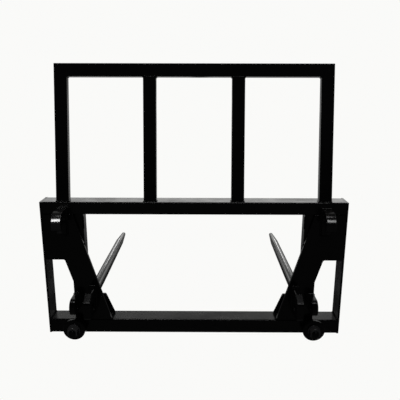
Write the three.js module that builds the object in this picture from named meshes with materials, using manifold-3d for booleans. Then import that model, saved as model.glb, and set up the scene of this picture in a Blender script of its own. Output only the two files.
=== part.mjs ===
// Loader bale spear frame: a welded frame with a load guard, two quick-hitch brackets and two
// round tines. Millimetres, +Z up, +Y towards the tine tips, +X to the right seen from the loader.
// The origin is the centre of the lower beam's rear face, level with both tine axes.

import * as THREE from 'three';
import { mergeVertices } from 'three/addons/utils/BufferGeometryUtils.js';
import Module from 'manifold-3d';

const manifold = await Module();
manifold.setup();

// ---------------------------------------------------------------- driving dimensions

const FIT_GAP = 0.3;                 // left between any two pieces that touch

const FRAME_WIDTH = 1200;            // over the two side plates
const FRAME_HEIGHT = 560;            // lower beam's underside to upper beam's top
const FRAME_DEPTH = 80;              // beams and side plates, front to back
const UPPER_BEAM_HEIGHT = 50;
const LOWER_BEAM_HEIGHT = 60;
const BEAM_WALL = 5;
const BEAM_CORNER_RADIUS = 6;

const SIDE_PLATE_THICKNESS = 8;
const SIDE_HOLE_DIAMETER = 9;
const SIDE_HOLE_COUNT = 4;
const SIDE_HOLE_END_MARGIN = 52.5;   // from a beam to the nearest hole's centre
const SIDE_BOLT_HOLE = 2;            // the hole that holds the bolt, counted from the bottom hole, 0
const SIDE_BOLT_RISE = 8;            // that hole above its even place

const GUARD_INSET = 64;              // frame's side to guard's side
const GUARD_HEIGHT = 530;            // along the guard's slope
const GUARD_LEAN_DEG = 10;           // towards the tine tips
const GUARD_SETBACK = 5;             // frame's rear face to the foot of the guard's rear face
const GUARD_TUBE_WIDTH = 50;
const GUARD_TUBE_DEPTH = 30;
const GUARD_TUBE_WALL = 3;
const GUARD_TUBE_CORNER_RADIUS = 4;
const GUARD_INNER_POSTS = 2;

const HITCH_PLATE_THICKNESS = 12;
const HITCH_INNER_EDGE_TOP_INSET = 127;   // frame's side to the plate's inner edge, at the upper beam
const HITCH_INNER_EDGE_FOOT_INSET = 261;  // the same, at the lower beam
const HITCH_WING_DROP = 238;              // upper beam's top to the wing's lower edge
const HITCH_WING_CORNER_INSET = 83;       // frame's side to where the wing's lower edge turns down
const HITCH_LEG_INSET = 112;              // frame's side to the leg's outer edge
const HITCH_LEG_TAPER = 94;               // height of the slope from wing to leg
const HITCH_CORNER_RADIUS = 8;

const HITCH_POST_SIZE = 50;
const HITCH_POST_WALL = 4;
const HITCH_POST_CORNER_RADIUS = 5;
const HITCH_POST_SETBACK = 2;             // leg's outer edge to the post's outer side
const GUSSET_THICKNESS = 10;
const GUSSET_HEIGHT = 90;
const GUSSET_TOP_WIDTH = 65;
const GUSSET_FOOT_WIDTH = 102;
const GUSSET_CORNER_RADIUS = 5;

const HOOK_INSET = 84;                    // frame's side to the middle of the hook
const HOOK_THICKNESS = 36;
const HOOK_TOP_DROP = 26;                 // upper beam's top to the hook's top
const HOOK_SEAT_RADIUS = 21;
const HOOK_BAND = 25;                     // metal over and outside the seat
const HOOK_WEB = 17;                      // metal between the seat and the frame
const HOOK_NOSE_DROP = 10;                // nose tip below the seat's centre
const HOOK_FOOT_DROP = 68;                // foot of the web below the seat's centre

const LUG_PIN_DIAMETER = 32;
const LUG_PIN_REACH = 52;                 // frame's rear face to the pin's axis
const LUG_PIN_HEIGHT = 145;               // lower beam's underside to the pin's axis
const LUG_GAP = 41;                       // clear space between the two lugs
const OUTER_LUG_THICKNESS = 22;
const OUTER_LUG_RADIUS = 33;              // about the pin's axis
const INNER_LUG_THICKNESS = 25;
const INNER_LUG_REACH = 112;
const INNER_LUG_RISE = 64;                // pin's axis to the lug's flat top
const INNER_LUG_SHOULDER_REACH = 68;      // rear face to where the top starts to fall
const INNER_LUG_NOSE_RISE = 38;           // pin's axis to the top of the nose
const INNER_LUG_NOSE_DROP = 30;           // pin's axis to the bottom of the nose
const INNER_LUG_FOOT_DROP = 45;           // pin's axis to the lug's foot on the plate
const INNER_LUG_CORNER_RADIUS = 14;

const TINE_INSET = 111;                   // frame's side to the tine's axis
const TINE_REACH = 1215;                  // frame's rear face to the tine's tip
const TINE_ROOT_DIAMETER = 50;
const TINE_TAPER_START = 550;             // frame's rear face to where the shaft starts to narrow
const TINE_NECK_DIAMETER = 44;            // where the point begins
const TINE_POINT_LENGTH = 165;
const TINE_TIP_RADIUS = 12;
const TINE_CONE_FRONT_DIAMETER = 42;
const TINE_CONE_REAR_DIAMETER = 30;
const TINE_THREAD_DIAMETER = 28;
const TINE_THREAD_OVERHANG = 9;           // past the nut
const TINE_EDGE_CHAMFER = 2;

const SLEEVE_DIAMETER = 49.4;
const SLEEVE_FRONT_STICKOUT = 25;         // past the lower beam's front face
const COLLAR_DIAMETER = 90;
const COLLAR_LENGTH = 36;                 // frame's rear face to the collar's rear face
const COLLAR_THICKNESS = 8;
const COLLAR_CHAMFER = 3;

const TINE_NUT_WIDTH = 41;                // across flats
const TINE_NUT_HEIGHT = 22;
const TINE_WASHER_DIAMETER = 52;
const TINE_WASHER_THICKNESS = 4;

const BOLT_DIAMETER = 8;
const BOLT_HEAD_WIDTH = 13;
const BOLT_HEAD_HEIGHT = 5.5;
const BOLT_NUT_HEIGHT = 6.5;
const BOLT_WASHER_DIAMETER = 17;
const BOLT_WASHER_THICKNESS = 1.6;
const BOLT_OVERHANG = 2;                  // past its nut
const BOLT_POINT_CHAMFER = 0.8;
const FASTENER_CHAMFER_DEG = 30;
const FASTENER_CHAMFER_INSET = 0.6;       // flat's edge to where the chamfer starts
const WASHER_BORE_PLAY = 2;               // washer's bore over its thread's diameter

const ROUND_SEGMENTS = 40;
const FASTENER_SEGMENTS = 28;
const ARC_SEGMENTS = 12;
const TIP_SEGMENTS = 4;
const CORNER_SEGMENTS = 3;

// ---------------------------------------------------------------- derived places

const halfWidth = FRAME_WIDTH / 2;
const frameBottom = -LOWER_BEAM_HEIGHT / 2;
const lowerBeamTop = frameBottom + LOWER_BEAM_HEIGHT;
const frameTop = frameBottom + FRAME_HEIGHT;
const upperBeamBottom = frameTop - UPPER_BEAM_HEIGHT;
const beamLength = FRAME_WIDTH - 2 * (SIDE_PLATE_THICKNESS + FIT_GAP);
const midDepth = FRAME_DEPTH / 2;
const bayBottom = lowerBeamTop + FIT_GAP;
const bayTop = upperBeamBottom - FIT_GAP;
const tineX = halfWidth - TINE_INSET;
const pinHeight = frameBottom + LUG_PIN_HEIGHT;
const sleeveFront = FRAME_DEPTH + SLEEVE_FRONT_STICKOUT;

// ---------------------------------------------------------------- finishes

const framePaint = () => new THREE.MeshStandardMaterial({ color: 0x0b0b0c, roughness: 0.22, metalness: 0.1 });
const hitchPaint = () => new THREE.MeshStandardMaterial({ color: 0x0a0a0b, roughness: 0.2, metalness: 0.1 });
const tinePaint = () => new THREE.MeshStandardMaterial({ color: 0x101012, roughness: 0.16, metalness: 0.15 });
const fastenerPaint = () => new THREE.MeshStandardMaterial({ color: 0x141416, roughness: 0.28, metalness: 0.2 });

// ---------------------------------------------------------------- directions

// Each matrix carries a shape's own x, y and extrusion directions onto the frame.
const ACROSS_FRAME = new THREE.Matrix4().makeBasis(
  new THREE.Vector3(1, 0, 0), new THREE.Vector3(0, 0, 1), new THREE.Vector3(0, -1, 0));
const ALONG_DEPTH = new THREE.Matrix4().makeBasis(
  new THREE.Vector3(0, -1, 0), new THREE.Vector3(0, 0, 1), new THREE.Vector3(-1, 0, 0));
const BEAM_AXIS = new THREE.Matrix4().makeBasis(
  new THREE.Vector3(0, 1, 0), new THREE.Vector3(0, 0, 1), new THREE.Vector3(1, 0, 0));

// ---------------------------------------------------------------- outlines

/** A closed outline through corner points [x, y, radius], with each corner rounded by its radius. */
function roundedOutline(corners) {
  const shape = new THREE.Shape();
  const count = corners.length;
  corners.forEach(([x, y, radius = 0], index) => {
    const corner = new THREE.Vector2(x, y);
    const before = new THREE.Vector2(...corners[(index + count - 1) % count].slice(0, 2));
    const after = new THREE.Vector2(...corners[(index + 1) % count].slice(0, 2));
    const inward = before.sub(corner).normalize();
    const outward = after.sub(corner).normalize();
    const halfAngle = Math.acos(THREE.MathUtils.clamp(inward.dot(outward), -1, 1)) / 2;
    const setback = radius / Math.tan(halfAngle);
    const start = corner.clone().addScaledVector(inward, setback);
    if (index === 0) {
      shape.moveTo(start.x, start.y);
    } else {
      shape.lineTo(start.x, start.y);
    }
    if (radius === 0) {
      return;
    }
    const end = corner.clone().addScaledVector(outward, setback);
    const middle = inward.clone().add(outward).normalize();
    const centre = corner.clone().addScaledVector(middle, radius / Math.sin(halfAngle));
    const startAngle = Math.atan2(start.y - centre.y, start.x - centre.x);
    const endAngle = Math.atan2(end.y - centre.y, end.x - centre.x);
    const turnsLeft = inward.cross(outward) < 0;
    shape.absarc(centre.x, centre.y, radius, startAngle, endAngle, !turnsLeft);
  });
  shape.closePath();
  return shape;
}

/** A rectangle about the middle, with rounded corners. */
function roundedRectangle(width, height, radius) {
  const x = width / 2;
  const y = height / 2;
  return roundedOutline([[-x, -y, radius], [x, -y, radius], [x, y, radius], [-x, y, radius]]);
}

/** The section of a rectangular hollow tube. */
function tubeSection(width, height, wall, cornerRadius) {
  const section = roundedRectangle(width, height, cornerRadius);
  const innerRadius = Math.max(cornerRadius - wall, 1);
  section.holes.push(roundedRectangle(width - 2 * wall, height - 2 * wall, innerRadius));
  return section;
}

/** A round hole to add to a shape. */
function roundHole(x, y, diameter) {
  const hole = new THREE.Path();
  hole.absarc(x, y, diameter / 2, 0, 2 * Math.PI, false);
  return hole;
}

// ---------------------------------------------------------------- solids

/** A plate of one thickness, centred on its own plane, turned by a direction matrix. */
function plate(shape, thickness, direction, curveSegments = ARC_SEGMENTS) {
  const geometry = new THREE.ExtrudeGeometry(shape, { depth: thickness, bevelEnabled: false, curveSegments });
  geometry.translate(0, 0, -thickness / 2);
  return geometry.applyMatrix4(direction);
}

/**
 * A tube along its own z axis, from z = 0 to the length. Each end is cut by a plane, given as the
 * extra z at a point (x, y) of the section.
 */
function tube(section, length, cutStart = () => 0, cutEnd = () => 0) {
  const geometry = new THREE.ExtrudeGeometry(section, {
    depth: length, bevelEnabled: false, curveSegments: CORNER_SEGMENTS,
  });
  const position = geometry.attributes.position;
  for (let i = 0; i < position.count; i += 1) {
    const cut = position.getZ(i) > length / 2 ? cutEnd : cutStart;
    position.setZ(i, position.getZ(i) + cut(position.getX(i), position.getY(i)));
  }
  return geometry;
}

/** A turned piece about the y axis, from profile points [radius, y]. */
function turned(profile, segments = ROUND_SEGMENTS) {
  return new THREE.LatheGeometry(profile.map(([radius, y]) => new THREE.Vector2(radius, y)), segments);
}

/** A flat washer about the y axis, from y = 0 to its thickness. */
function washer(outerDiameter, innerDiameter, thickness) {
  const outer = outerDiameter / 2;
  const inner = innerDiameter / 2;
  const profile = [[inner, 0], [outer, 0], [outer, thickness], [inner, thickness], [inner, 0]];
  return turned(profile, FASTENER_SEGMENTS);
}

function toSolid(geometry) {
  const bare = geometry.clone();
  bare.deleteAttribute('normal');
  bare.deleteAttribute('uv');
  const merged = mergeVertices(bare, 1e-4);
  return new manifold.Manifold(new manifold.Mesh({
    numProp: 3,
    vertProperties: new Float32Array(merged.attributes.position.array),
    triVerts: new Uint32Array(merged.index.array),
  }));
}

function toGeometry(solid) {
  const mesh = solid.getMesh();
  const geometry = new THREE.BufferGeometry();
  geometry.setAttribute('position', new THREE.BufferAttribute(mesh.vertProperties, 3));
  geometry.setIndex(new THREE.BufferAttribute(mesh.triVerts, 1));
  return geometry;
}

function cutAway(geometry, cutters) {
  return toGeometry(cutters.reduce((solid, cutter) => solid.subtract(toSolid(cutter)), toSolid(geometry)));
}

/** A hexagon block about the y axis, its corners chamfered at both ends or only at y = height. */
function hexagonBlock(width, height, chamferBothEnds) {
  const cornerRadius = width / Math.sqrt(3);
  const hexagon = new THREE.CylinderGeometry(cornerRadius, cornerRadius, height, 6);
  hexagon.translate(0, height / 2, 0);
  const flatRadius = width / 2 - FASTENER_CHAMFER_INSET;
  const reach = cornerRadius + 1;
  const drop = (reach - flatRadius) * Math.tan(THREE.MathUtils.degToRad(FASTENER_CHAMFER_DEG));
  const start = chamferBothEnds ? [[flatRadius, 0], [reach, drop]] : [[reach, 0]];
  const profile = [[0, 0], ...start, [reach, height - drop], [flatRadius, height], [0, height]];
  return toSolid(hexagon).intersect(toSolid(turned(profile, FASTENER_SEGMENTS)));
}

/** A plain hexagon nut about the y axis, from y = 0 to its height. */
function nut(width, height, threadDiameter) {
  const boreRadius = threadDiameter / 2 + FIT_GAP;
  const bore = new THREE.CylinderGeometry(boreRadius, boreRadius, height + 2, FASTENER_SEGMENTS);
  bore.translate(0, height / 2, 0);
  return toGeometry(hexagonBlock(width, height, true).subtract(toSolid(bore)));
}

// ---------------------------------------------------------------- the model

const model = new THREE.Group();
const SIDES = [['left', -1], ['right', 1]];

function addMesh(parent, name, geometry, material, place = [0, 0, 0], turn = [0, 0, 0]) {
  const mesh = new THREE.Mesh(geometry, material);
  mesh.name = name;
  mesh.position.set(...place);
  mesh.rotation.set(...turn);
  parent.add(mesh);
  return mesh;
}

// Beams: hollow sections between the side plates. The lower one is bored for the tine sleeves.

function beam(height) {
  const section = tubeSection(FRAME_DEPTH, height, BEAM_WALL, BEAM_CORNER_RADIUS);
  return tube(section, beamLength).translate(0, 0, -beamLength / 2).applyMatrix4(BEAM_AXIS);
}

function sleeveBore(side) {
  const radius = SLEEVE_DIAMETER / 2 + FIT_GAP;
  const bore = new THREE.CylinderGeometry(radius, radius, FRAME_DEPTH * 2, ROUND_SEGMENTS);
  return bore.translate(side * tineX, 0, 0);
}

function addBeams() {
  addMesh(model, 'upper_beam', beam(UPPER_BEAM_HEIGHT), framePaint(),
    [0, midDepth, frameTop - UPPER_BEAM_HEIGHT / 2]);
  const bored = cutAway(beam(LOWER_BEAM_HEIGHT), SIDES.map(([, side]) => sleeveBore(side)));
  addMesh(model, 'lower_beam', bored, framePaint(), [0, midDepth, 0]);
}

// Side plates: flat bars that close the beams' ends, with a row of holes along the middle.

function sideHoleHeights() {
  const pitch = (upperBeamBottom - lowerBeamTop - 2 * SIDE_HOLE_END_MARGIN) / (SIDE_HOLE_COUNT - 1);
  const first = lowerBeamTop + SIDE_HOLE_END_MARGIN;
  return Array.from({ length: SIDE_HOLE_COUNT }, (_, index) =>
    first + index * pitch + (index === SIDE_BOLT_HOLE ? SIDE_BOLT_RISE : 0));
}

function addSidePlates() {
  const outline = roundedOutline([
    [0, frameBottom], [-FRAME_DEPTH, frameBottom], [-FRAME_DEPTH, frameTop], [0, frameTop],
  ]);
  sideHoleHeights().forEach((height) => outline.holes.push(roundHole(-midDepth, height, SIDE_HOLE_DIAMETER)));
  for (const [name, side] of SIDES) {
    addMesh(model, `side_plate_${name}`, plate(outline, SIDE_PLATE_THICKNESS, ALONG_DEPTH), framePaint(),
      [side * (halfWidth - SIDE_PLATE_THICKNESS / 2), 0, 0]);
  }
}

// Side bolts: the head is inside the plate, the washer and nut are outside.

function bolt(length) {
  const radius = BOLT_DIAMETER / 2;
  const point = [[radius, length - BOLT_POINT_CHAMFER], [radius - BOLT_POINT_CHAMFER, length], [0, length]];
  const shank = turned([[0, -BOLT_HEAD_HEIGHT / 2], [radius, -BOLT_HEAD_HEIGHT / 2], ...point], FASTENER_SEGMENTS);
  const head = toGeometry(hexagonBlock(BOLT_HEAD_WIDTH, BOLT_HEAD_HEIGHT, false)).rotateX(Math.PI);
  return toGeometry(toSolid(head).add(toSolid(shank)));
}

function addSideBolts() {
  const height = sideHoleHeights()[SIDE_BOLT_HOLE];
  const washerStart = halfWidth + FIT_GAP;
  const nutStart = washerStart + BOLT_WASHER_THICKNESS + FIT_GAP;
  const boltStart = halfWidth - SIDE_PLATE_THICKNESS - FIT_GAP;
  const boltLength = nutStart + BOLT_NUT_HEIGHT + BOLT_OVERHANG - boltStart;
  for (const [name, side] of SIDES) {
    const turn = [0, 0, -side * Math.PI / 2];
    const place = (x) => [side * x, midDepth, height];
    addMesh(model, `side_bolt_${name}`, bolt(boltLength), fastenerPaint(), place(boltStart), turn);
    addMesh(model, `side_washer_${name}`,
      washer(BOLT_WASHER_DIAMETER, BOLT_DIAMETER + WASHER_BORE_PLAY, BOLT_WASHER_THICKNESS),
      fastenerPaint(), place(washerStart), turn);
    addMesh(model, `side_nut_${name}`, nut(BOLT_HEAD_WIDTH, BOLT_NUT_HEIGHT, BOLT_DIAMETER),
      fastenerPaint(), place(nutStart), turn);
  }
}

// Load guard: a mitred frame with inner posts, standing on the upper beam and leaning forwards.
// Inside its group z runs up the slope, and y = 0 is the guard's rear face.

function addGuard() {
  const lean = THREE.MathUtils.degToRad(GUARD_LEAN_DEG);
  const guard = new THREE.Group();
  guard.position.set(0, GUARD_SETBACK, frameTop);
  guard.rotation.x = -lean;
  model.add(guard);

  const width = FRAME_WIDTH - 2 * GUARD_INSET;
  const halfTube = GUARD_TUBE_WIDTH / 2;
  const section = tubeSection(GUARD_TUBE_WIDTH, GUARD_TUBE_DEPTH, GUARD_TUBE_WALL, GUARD_TUBE_CORNER_RADIUS);
  const middleDepth = GUARD_TUBE_DEPTH / 2;
  const footCut = (x, y) => FIT_GAP / Math.cos(lean) + (y + middleDepth) * Math.tan(lean);
  const mitreGap = FIT_GAP / Math.SQRT2;
  const outerPostX = width / 2 - halfTube;

  for (const [name, side] of SIDES) {
    const mitre = (x) => side * x - halfTube - mitreGap;
    addMesh(guard, `guard_outer_post_${name}`, tube(section, GUARD_HEIGHT, footCut, mitre), framePaint(),
      [side * outerPostX, middleDepth, 0]);
  }
  for (let index = 1; index <= GUARD_INNER_POSTS; index += 1) {
    const x = outerPostX * (2 * index / (GUARD_INNER_POSTS + 1) - 1);
    const length = GUARD_HEIGHT - GUARD_TUBE_WIDTH - FIT_GAP;
    addMesh(guard, `guard_inner_post_${index}`, tube(section, length, footCut), framePaint(),
      [x, middleDepth, 0]);
  }
  // The rail's own z runs across the frame, and its section's x runs down the slope.
  const railStart = (x) => halfTube + x + mitreGap;
  const railEnd = (x) => -halfTube - x - mitreGap;
  const rail = tube(section, width, railStart, railEnd).translate(0, 0, -width / 2).rotateY(Math.PI / 2);
  addMesh(guard, 'guard_top_rail', rail, framePaint(), [0, middleDepth, GUARD_HEIGHT - halfTube]);
}

// Hitch plates: flush with the frame's rear face, from the upper beam down to the lower one.

function addHitchPlates() {
  const wingBottom = frameTop - HITCH_WING_DROP;
  const sideGap = SIDE_PLATE_THICKNESS + FIT_GAP;
  for (const [name, side] of SIDES) {
    const corner = (inset, height, radius = 0) => [side * (halfWidth - inset), height, radius];
    const outline = roundedOutline([
      corner(sideGap, bayTop),
      corner(sideGap, wingBottom),
      corner(HITCH_WING_CORNER_INSET, wingBottom, HITCH_CORNER_RADIUS),
      corner(HITCH_LEG_INSET, wingBottom - HITCH_LEG_TAPER, HITCH_CORNER_RADIUS),
      corner(HITCH_LEG_INSET, bayBottom),
      corner(HITCH_INNER_EDGE_FOOT_INSET, bayBottom),
      corner(HITCH_INNER_EDGE_TOP_INSET, bayTop),
    ]);
    addMesh(model, `hitch_plate_${name}`, plate(outline, HITCH_PLATE_THICKNESS, ACROSS_FRAME, CORNER_SEGMENTS), hitchPaint(),
      [0, HITCH_PLATE_THICKNESS / 2, 0]);
  }
}

// Hitch posts: square tubes up the front of the hitch plates, each with a gusset at its foot.

function addHitchPosts() {
  const section = tubeSection(HITCH_POST_SIZE, HITCH_POST_SIZE, HITCH_POST_WALL, HITCH_POST_CORNER_RADIUS);
  const postRear = HITCH_PLATE_THICKNESS + FIT_GAP;
  const postX = halfWidth - HITCH_LEG_INSET - HITCH_POST_SETBACK - HITCH_POST_SIZE / 2;
  const gussetX = postX - HITCH_POST_SIZE / 2 - FIT_GAP;
  for (const [name, side] of SIDES) {
    addMesh(model, `hitch_post_${name}`, tube(section, bayTop - bayBottom), hitchPaint(),
      [side * postX, postRear + HITCH_POST_SIZE / 2, bayBottom]);
    const outline = roundedOutline([
      [side * gussetX, 0],
      [side * (gussetX - GUSSET_FOOT_WIDTH), 0],
      [side * (gussetX - GUSSET_TOP_WIDTH), GUSSET_HEIGHT, GUSSET_CORNER_RADIUS],
      [side * gussetX, GUSSET_HEIGHT],
    ]);
    addMesh(model, `corner_gusset_${name}`, plate(outline, GUSSET_THICKNESS, ACROSS_FRAME, CORNER_SEGMENTS), hitchPaint(),
      [0, postRear + HITCH_POST_SIZE - GUSSET_THICKNESS / 2, bayBottom]);
  }
}

// Hooks: thick profile plates that drop over the loader carriage's top bar. In their outline x is
// the distance behind the frame, and the seat's centre is at y = 0.

function hookOutline() {
  const seatX = HOOK_WEB + HOOK_SEAT_RADIUS;
  const outerRadius = HOOK_SEAT_RADIUS + HOOK_BAND;
  const noseRadius = HOOK_BAND / 2;
  const noseX = seatX + HOOK_SEAT_RADIUS + noseRadius;
  const shape = new THREE.Shape();
  shape.moveTo(FIT_GAP, -HOOK_FOOT_DROP);
  shape.lineTo(HOOK_WEB, HOOK_WEB - HOOK_FOOT_DROP);
  shape.lineTo(HOOK_WEB, 0);
  shape.absarc(seatX, 0, HOOK_SEAT_RADIUS, Math.PI, 0, true);
  shape.lineTo(noseX - noseRadius, -HOOK_NOSE_DROP);
  shape.absarc(noseX, -HOOK_NOSE_DROP, noseRadius, Math.PI, 2 * Math.PI, false);
  shape.lineTo(seatX + outerRadius, 0);
  shape.absarc(seatX, 0, outerRadius, 0, Math.PI / 2, false);
  shape.lineTo(FIT_GAP, outerRadius);
  shape.closePath();
  return shape;
}

function addHooks() {
  const seatHeight = frameTop - HOOK_TOP_DROP - HOOK_BAND - HOOK_SEAT_RADIUS;
  for (const [name, side] of SIDES) {
    addMesh(model, `hook_${name}`, plate(hookOutline(), HOOK_THICKNESS, ALONG_DEPTH), hitchPaint(),
      [side * (halfWidth - HOOK_INSET), 0, seatHeight]);
  }
}

// Lugs: a pair on each side that takes the loader's locking pin. In their outlines x is the distance
// behind the frame, and the pin's axis is at y = 0.

function outerLugOutline() {
  const shape = new THREE.Shape();
  shape.moveTo(FIT_GAP, -OUTER_LUG_RADIUS);
  shape.lineTo(LUG_PIN_REACH, -OUTER_LUG_RADIUS);
  shape.absarc(LUG_PIN_REACH, 0, OUTER_LUG_RADIUS, -Math.PI / 2, Math.PI / 2, false);
  shape.lineTo(FIT_GAP, OUTER_LUG_RADIUS);
  shape.closePath();
  shape.holes.push(roundHole(LUG_PIN_REACH, 0, LUG_PIN_DIAMETER));
  return shape;
}

function innerLugOutline() {
  const shape = roundedOutline([
    [FIT_GAP, -INNER_LUG_FOOT_DROP],
    [INNER_LUG_REACH, -INNER_LUG_NOSE_DROP, INNER_LUG_CORNER_RADIUS],
    [INNER_LUG_REACH, INNER_LUG_NOSE_RISE, INNER_LUG_CORNER_RADIUS],
    [INNER_LUG_SHOULDER_REACH, INNER_LUG_RISE, INNER_LUG_CORNER_RADIUS],
    [FIT_GAP, INNER_LUG_RISE],
  ]);
  shape.holes.push(roundHole(LUG_PIN_REACH, 0, LUG_PIN_DIAMETER));
  return shape;
}

function addLugs() {
  const outerX = halfWidth - HITCH_LEG_INSET - OUTER_LUG_THICKNESS / 2;
  const innerX = outerX - OUTER_LUG_THICKNESS / 2 - LUG_GAP - INNER_LUG_THICKNESS / 2;
  for (const [name, side] of SIDES) {
    addMesh(model, `outer_lug_${name}`, plate(outerLugOutline(), OUTER_LUG_THICKNESS, ALONG_DEPTH),
      hitchPaint(), [side * outerX, 0, pinHeight]);
    addMesh(model, `inner_lug_${name}`, plate(innerLugOutline(), INNER_LUG_THICKNESS, ALONG_DEPTH),
      hitchPaint(), [side * innerX, 0, pinHeight]);
  }
}

// Tines: each sits by a cone in a sleeve welded through the lower beam, and a nut draws it home.
// Their profiles run along y, with y = 0 at the frame's rear face.

function sleeveProfile() {
  const rearBore = TINE_CONE_REAR_DIAMETER / 2 + FIT_GAP;
  const frontBore = TINE_CONE_FRONT_DIAMETER / 2 + FIT_GAP;
  const collar = COLLAR_DIAMETER / 2;
  const body = SLEEVE_DIAMETER / 2;
  return [
    [rearBore, -COLLAR_LENGTH],
    [collar - COLLAR_CHAMFER, -COLLAR_LENGTH],
    [collar, COLLAR_CHAMFER - COLLAR_LENGTH],
    [collar, COLLAR_THICKNESS - COLLAR_LENGTH],
    [body, COLLAR_THICKNESS - COLLAR_LENGTH],
    [body, sleeveFront],
    [frontBore, sleeveFront],
    [rearBore, -COLLAR_LENGTH],
  ];
}

function tineProfile(threadEnd) {
  const thread = TINE_THREAD_DIAMETER / 2;
  const pointStart = TINE_REACH - TINE_POINT_LENGTH;
  const tipCentre = TINE_REACH - TINE_TIP_RADIUS;
  const tipRound = Array.from({ length: TIP_SEGMENTS }, (_, index) => {
    const angle = (index / TIP_SEGMENTS) * Math.PI / 2;
    return [TINE_TIP_RADIUS * Math.cos(angle), tipCentre + TINE_TIP_RADIUS * Math.sin(angle)];
  });
  return [
    [0, threadEnd],
    [thread - TINE_EDGE_CHAMFER, threadEnd],
    [thread, threadEnd + TINE_EDGE_CHAMFER],
    [thread, -COLLAR_LENGTH],
    [TINE_CONE_REAR_DIAMETER / 2, -COLLAR_LENGTH],
    [TINE_CONE_FRONT_DIAMETER / 2, sleeveFront],
    [TINE_CONE_FRONT_DIAMETER / 2, sleeveFront + FIT_GAP],
    [TINE_ROOT_DIAMETER / 2 - TINE_EDGE_CHAMFER, sleeveFront + FIT_GAP],
    [TINE_ROOT_DIAMETER / 2, sleeveFront + FIT_GAP + TINE_EDGE_CHAMFER],
    [TINE_ROOT_DIAMETER / 2, TINE_TAPER_START],
    [TINE_NECK_DIAMETER / 2, pointStart],
    ...tipRound,
    [0, TINE_REACH],
  ];
}

function addTines() {
  const washerStart = -COLLAR_LENGTH - FIT_GAP - TINE_WASHER_THICKNESS;
  const nutStart = washerStart - FIT_GAP - TINE_NUT_HEIGHT;
  const threadEnd = nutStart - TINE_THREAD_OVERHANG;
  for (const [name, side] of SIDES) {
    const x = side * tineX;
    addMesh(model, `tine_sleeve_${name}`, turned(sleeveProfile()), hitchPaint(), [x, 0, 0]);
    addMesh(model, `tine_${name}`, turned(tineProfile(threadEnd)), tinePaint(), [x, 0, 0]);
    addMesh(model, `tine_washer_${name}`,
      washer(TINE_WASHER_DIAMETER, TINE_THREAD_DIAMETER + WASHER_BORE_PLAY, TINE_WASHER_THICKNESS),
      fastenerPaint(), [x, washerStart, 0]);
    addMesh(model, `tine_nut_${name}`, nut(TINE_NUT_WIDTH, TINE_NUT_HEIGHT, TINE_THREAD_DIAMETER),
      fastenerPaint(), [x, nutStart, 0]);
  }
}

addBeams();
addSidePlates();
addSideBolts();
addGuard();
addHitchPlates();
addHitchPosts();
addHooks();
addLugs();
addTines();

export default model;
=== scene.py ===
"""Loader bale spear frame: the visual model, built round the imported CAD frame.

Lengths are in metres. X runs to the right seen from the loader, Y to the tine tips and Z up.
"""

from __future__ import annotations

import logging
import math
from dataclasses import dataclass, field
from enum import Enum
from typing import Callable, Sequence

import bmesh
import bpy
from mathutils import Matrix, Vector

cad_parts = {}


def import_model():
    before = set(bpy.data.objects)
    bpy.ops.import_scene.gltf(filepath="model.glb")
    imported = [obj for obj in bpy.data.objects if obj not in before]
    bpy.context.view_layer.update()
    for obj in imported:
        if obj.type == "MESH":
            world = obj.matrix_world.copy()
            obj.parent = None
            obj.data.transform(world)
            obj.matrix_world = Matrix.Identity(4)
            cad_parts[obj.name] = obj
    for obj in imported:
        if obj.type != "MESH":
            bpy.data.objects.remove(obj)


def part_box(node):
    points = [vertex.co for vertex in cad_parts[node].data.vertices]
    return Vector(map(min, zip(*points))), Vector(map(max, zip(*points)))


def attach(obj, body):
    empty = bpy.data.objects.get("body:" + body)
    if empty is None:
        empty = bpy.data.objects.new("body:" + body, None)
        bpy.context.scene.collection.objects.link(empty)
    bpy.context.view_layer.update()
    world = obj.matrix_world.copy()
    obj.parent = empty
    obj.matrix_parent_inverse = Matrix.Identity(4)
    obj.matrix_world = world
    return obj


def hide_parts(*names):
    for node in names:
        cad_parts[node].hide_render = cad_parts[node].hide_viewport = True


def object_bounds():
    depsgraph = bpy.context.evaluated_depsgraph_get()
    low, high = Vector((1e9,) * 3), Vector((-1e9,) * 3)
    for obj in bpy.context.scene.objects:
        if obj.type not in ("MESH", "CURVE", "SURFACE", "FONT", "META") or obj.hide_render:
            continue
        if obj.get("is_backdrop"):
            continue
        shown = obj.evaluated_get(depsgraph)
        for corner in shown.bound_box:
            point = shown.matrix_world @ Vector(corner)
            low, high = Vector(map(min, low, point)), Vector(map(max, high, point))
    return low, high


LOG = logging.getLogger("bale_spear_frame")
BODY = "root"
MERGE_DISTANCE = 1e-6
SMOOTH_ANGLE = math.radians(38)
BEVEL_ANGLE = math.radians(34)
HEXAGON_FACE_SHARE = 0.96
HEXAGON_CLEAR_SHARE = 1.05
HEXAGON_CHAMFER_ANGLE = math.radians(30)
THREAD_DEPTH_SHARE = 0.58
THREAD_CREST_SHARES = (0.44, 0.56)
X_AXIS = Vector((1, 0, 0))
Y_AXIS = Vector((0, 1, 0))
Z_AXIS = Vector((0, 0, 1))

Point2 = tuple[float, float]


class Slot(Enum):
    """The record's material slots."""

    FRAME = "frame_paint"
    HITCH = "hitch_paint"
    TINE = "tine_paint"
    FASTENER = "fastener_paint"


class Side(Enum):
    """The frame's two sides, by the sign of X."""

    LEFT = -1
    RIGHT = 1

    @property
    def tag(self) -> str:
        """The side's word in a piece's name."""
        return self.name.lower()


# ---------------------------------------------------------------- selecting


def clear_selection() -> None:
    """Leaves edit mode and deselects every object."""
    if bpy.context.object and bpy.context.object.mode != "OBJECT":
        bpy.ops.object.mode_set(mode="OBJECT")
    bpy.ops.object.select_all(action="DESELECT")


def take(obj: bpy.types.Object) -> None:
    """Makes one object the only selected one, and the active one.

    Args:
        obj: the object to work on.
    """
    clear_selection()
    obj.select_set(True)
    bpy.context.view_layer.objects.active = obj


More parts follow.
